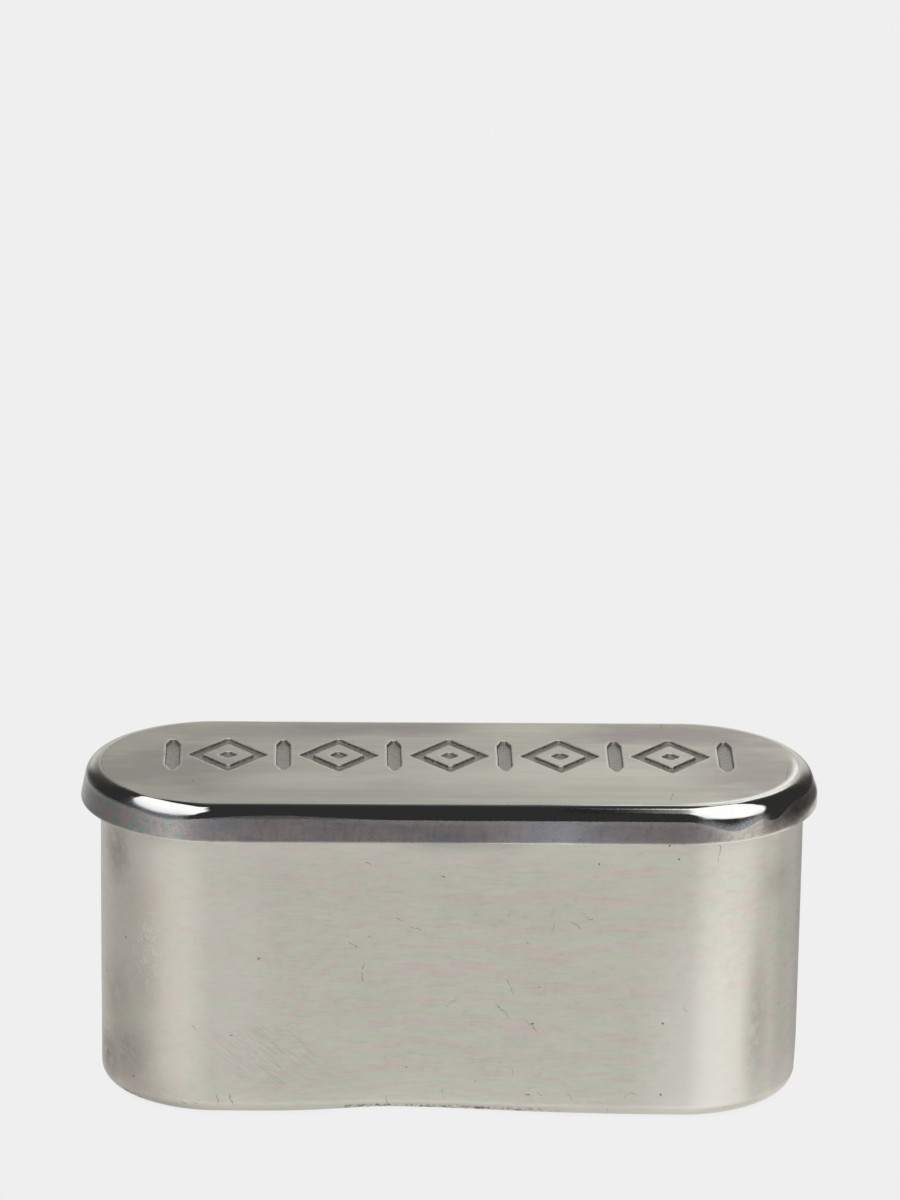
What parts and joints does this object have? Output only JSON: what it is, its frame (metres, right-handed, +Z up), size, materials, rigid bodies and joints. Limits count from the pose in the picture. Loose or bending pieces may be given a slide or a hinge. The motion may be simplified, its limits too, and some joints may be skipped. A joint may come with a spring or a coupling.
{
  "type": "toothpick holder",
  "caption": "Oblong metal table box for toothpicks, with half-round ends and a lift-off lid with a polished bead, flared rim and sunk geometric ornament.",
  "frame": {"origin": "middle of the foot, on the table", "axes": "+Z up, +X along the length, +Y towards the back"},
  "size_m": [0.095, 0.035, 0.043],
  "materials": {
    "satin_pot": "satin, finely brushed, with light tarnish and small pits",
    "polished_rim": "mirror polish",
    "satin_plate": "satin, brushed lengthwise",
    "solder": "dull, slightly rough"
  },
  "bodies": {
    "pot": {"pot_wall": "satin_pot", "pot_base": "satin_pot", "base_solder": "solder"},
    "lid": {"lid_rim": "polished_rim", "lid_plate": "satin_plate", "lid_solder": "solder"}
  },
  "joints": [
    {"name": "lid_lift", "type": "slide", "parent": "pot", "child": "lid", "axis": [0, 0, 1], "range_m": [0, 0.06]}
  ]
}
